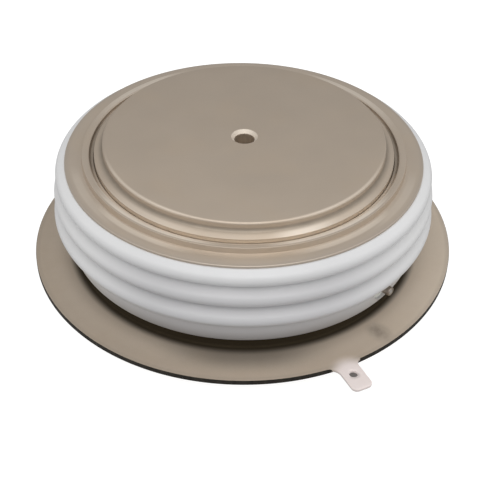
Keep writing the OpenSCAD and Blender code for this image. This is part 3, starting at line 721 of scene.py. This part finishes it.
# ---------------------------------------------------------------- stage
# a pale floor that only the camera sees, so that the soft light sets the object's
# tones, and a pale backdrop round it
floor = finish_mesh("floor", [(3000 * math.cos(2 * math.pi * i / 64), 3000 * math.sin(2 * math.pi * i / 64), -0.03) for i in range(64)], [tuple(range(64))])
fm = Shader("pale_floor", Base_Color=(0.28, 0.28, 0.28), Roughness=0.9, Emission_Strength=0.9)
fm.b.inputs["Emission Color"].default_value = (1, 1, 1, 1)
fm.rough(fm.span(fm.noise(0.01, 2.0), 0.3, 0.7, 0.85, 0.95))
# the part's soft shadow, set back from the rim, and the tab's, deepest below its hole
shade = fm.math("MAXIMUM", fm.math("MULTIPLY", fm.spot(0.0, 5.4, 33.0, 33.0, 0.0, 0.12), 0.6), fm.math("MULTIPLY", fm.spot(17.46, -29.02, 3.6, 1.1, TAB_AZ, 0.4), 0.7))
shade = fm.math("MAXIMUM", shade, fm.spot(18.64, -30.75, 1.05, 1.05, 0.0, 0.2))
fm.put(fm.b.inputs["Emission Strength"], fm.math("SUBTRACT", 0.9, fm.math("MULTIPLY", shade, 0.82)))
fm.colour(fm.blend(shade, (0.28, 0.28, 0.28), (0.12, 0.10, 0.09)))
floor.data.materials.append(fm.m)
dome_verts, dome_faces = lathe_data([(6000 * math.cos(math.radians(a)), 6000 * math.sin(math.radians(a)) - 100) for a in (-3, 5, 20, 40, 60, 80)] + [(0.0, 5900.0)], False, 48)
dome = finish_mesh("backdrop", dome_verts, dome_faces)
dm = bpy.data.materials.new("pale_backdrop")
dm.use_nodes = True
dm.node_tree.nodes.clear()
o, e = dm.node_tree.nodes.new("ShaderNodeOutputMaterial"), dm.node_tree.nodes.new("ShaderNodeEmission")
e.inputs["Strength"].default_value = 1.0
dm.node_tree.links.new(e.outputs[0], o.inputs[0])
dome.data.materials.append(dm)
for ob in (floor, dome):
    ob.visible_diffuse = ob.visible_glossy = ob.visible_transmission = ob.visible_shadow = False

# ---------------------------------------------------------------- light
world = bpy.data.worlds.new("soft_studio")
bpy.context.scene.world = world
world.use_nodes = True
wt = world.node_tree
wt.nodes.clear()


def wmath(op, a, b=0.0, clamp=False):
    n = wt.nodes.new("ShaderNodeMath")
    n.operation, n.use_clamp = op, clamp
    for s, x in ((n.inputs[0], a), (n.inputs[1], b)):
        if isinstance(x, bpy.types.NodeSocket):
            wt.links.new(x, s)
        else:
            s.default_value = x
    return n.outputs[0]


tc = wt.nodes.new("ShaderNodeTexCoord")
sep = wt.nodes.new("ShaderNodeSeparateXYZ")
wt.links.new(tc.outputs["Generated"], sep.inputs[0])
wx, wy, wz = sep.outputs
HORIZON, LOW, TOP, TOP_POW, KEY, KEY_POW, KEY_EL = 0.412, 0.465, 0.15, 1.0, 0.265, 3.0, 57.0
rise = wmath("POWER", wmath("MAXIMUM", wz, 0.0), TOP_POW)
ke = math.radians(KEY_EL)
facing = wmath("MAXIMUM", wmath("ADD", wmath("MULTIPLY", wy, -math.cos(ke)), wmath("MULTIPLY", wz, math.sin(ke))), 0.0)
key = wmath("POWER", facing, KEY_POW)
sky = wmath("ADD", wmath("ADD", wmath("MULTIPLY", rise, TOP), wmath("MULTIPLY", key, KEY)), wmath("ADD", wmath("MULTIPLY", wx, 0.06), HORIZON))
below = wmath("LESS_THAN", wz, 0.0)
level = wmath("ADD", wmath("MULTIPLY", wmath("SUBTRACT", 1.0, below), sky), wmath("MULTIPLY", below, LOW))
# pale screens to the left and right
level = wmath("ADD", level, wmath("MULTIPLY", wmath("POWER", wmath("ABSOLUTE", wx), 4.0), 0.1))
flank = wmath("MAXIMUM", wmath("ADD", wmath("MULTIPLY", wmath("ABSOLUTE", wx), 0.82), wmath("MULTIPLY", wz, 0.57)), 0.0)
level = wmath("ADD", level, wmath("MULTIPLY", wmath("POWER", flank, 8.0), 0.42))
bg = wt.nodes.new("ShaderNodeBackground")
bg.inputs["Color"].default_value = (1, 1, 1, 1)
wt.links.new(level, bg.inputs["Strength"])
wo = wt.nodes.new("ShaderNodeOutputWorld")
wt.links.new(bg.outputs[0], wo.inputs[0])

box = bpy.data.lights.new("overhead_softbox", "AREA")
box.shape, box.size, box.size_y, box.energy = "RECTANGLE", 0.3, 0.3, 0.47
box_ob = bpy.data.objects.new("overhead_softbox", box)
box_ob.location = (0.0, -0.17, 0.32)
box_ob.rotation_euler = Vector((0.0, 0.17, -0.31)).to_track_quat("-Z", "Y").to_euler()
bpy.context.scene.collection.objects.link(box_ob)

# ---------------------------------------------------------------- camera
EL, DIST, FOCAL, U0, V0, ROLL = 0.66829, 201.862, 1100.0, 242.5, 232.6, 0.0174
aim = Vector((0.0, 0.0, 4.995))
cs, sn = math.cos(EL), math.sin(EL)
right, up, back = Vector((1, 0, 0)), Vector((0, sn, cs)), Vector((0, -cs, sn))
look = Vector(((U0 - 250) / FOCAL, -(V0 - 250) / FOCAL, -1.0)).normalized()
tip = look.rotation_difference(Vector((0, 0, -1))).to_matrix()
base = Matrix((right, up, back)).transposed() @ tip
c0, c1, c2 = base.col[0].copy(), base.col[1].copy(), base.col[2].copy()
cr, sr = math.cos(ROLL), math.sin(ROLL)
axes = Matrix((c0 * cr + c1 * sr, c1 * cr - c0 * sr, c2)).transposed()
cam = bpy.data.cameras.new("camera")
cam.sensor_width, cam.lens = 36.0, FOCAL / 500.0 * 36.0
cam.clip_start, cam.clip_end = 0.01, 50.0
cam_ob = bpy.data.objects.new("camera", cam)
cam_ob.matrix_world = Matrix.Translation((aim + back * DIST) * MM) @ axes.to_4x4()
bpy.context.scene.collection.objects.link(cam_ob)
bpy.context.scene.camera = cam_ob
bpy.context.scene.view_settings.view_transform = "Standard"
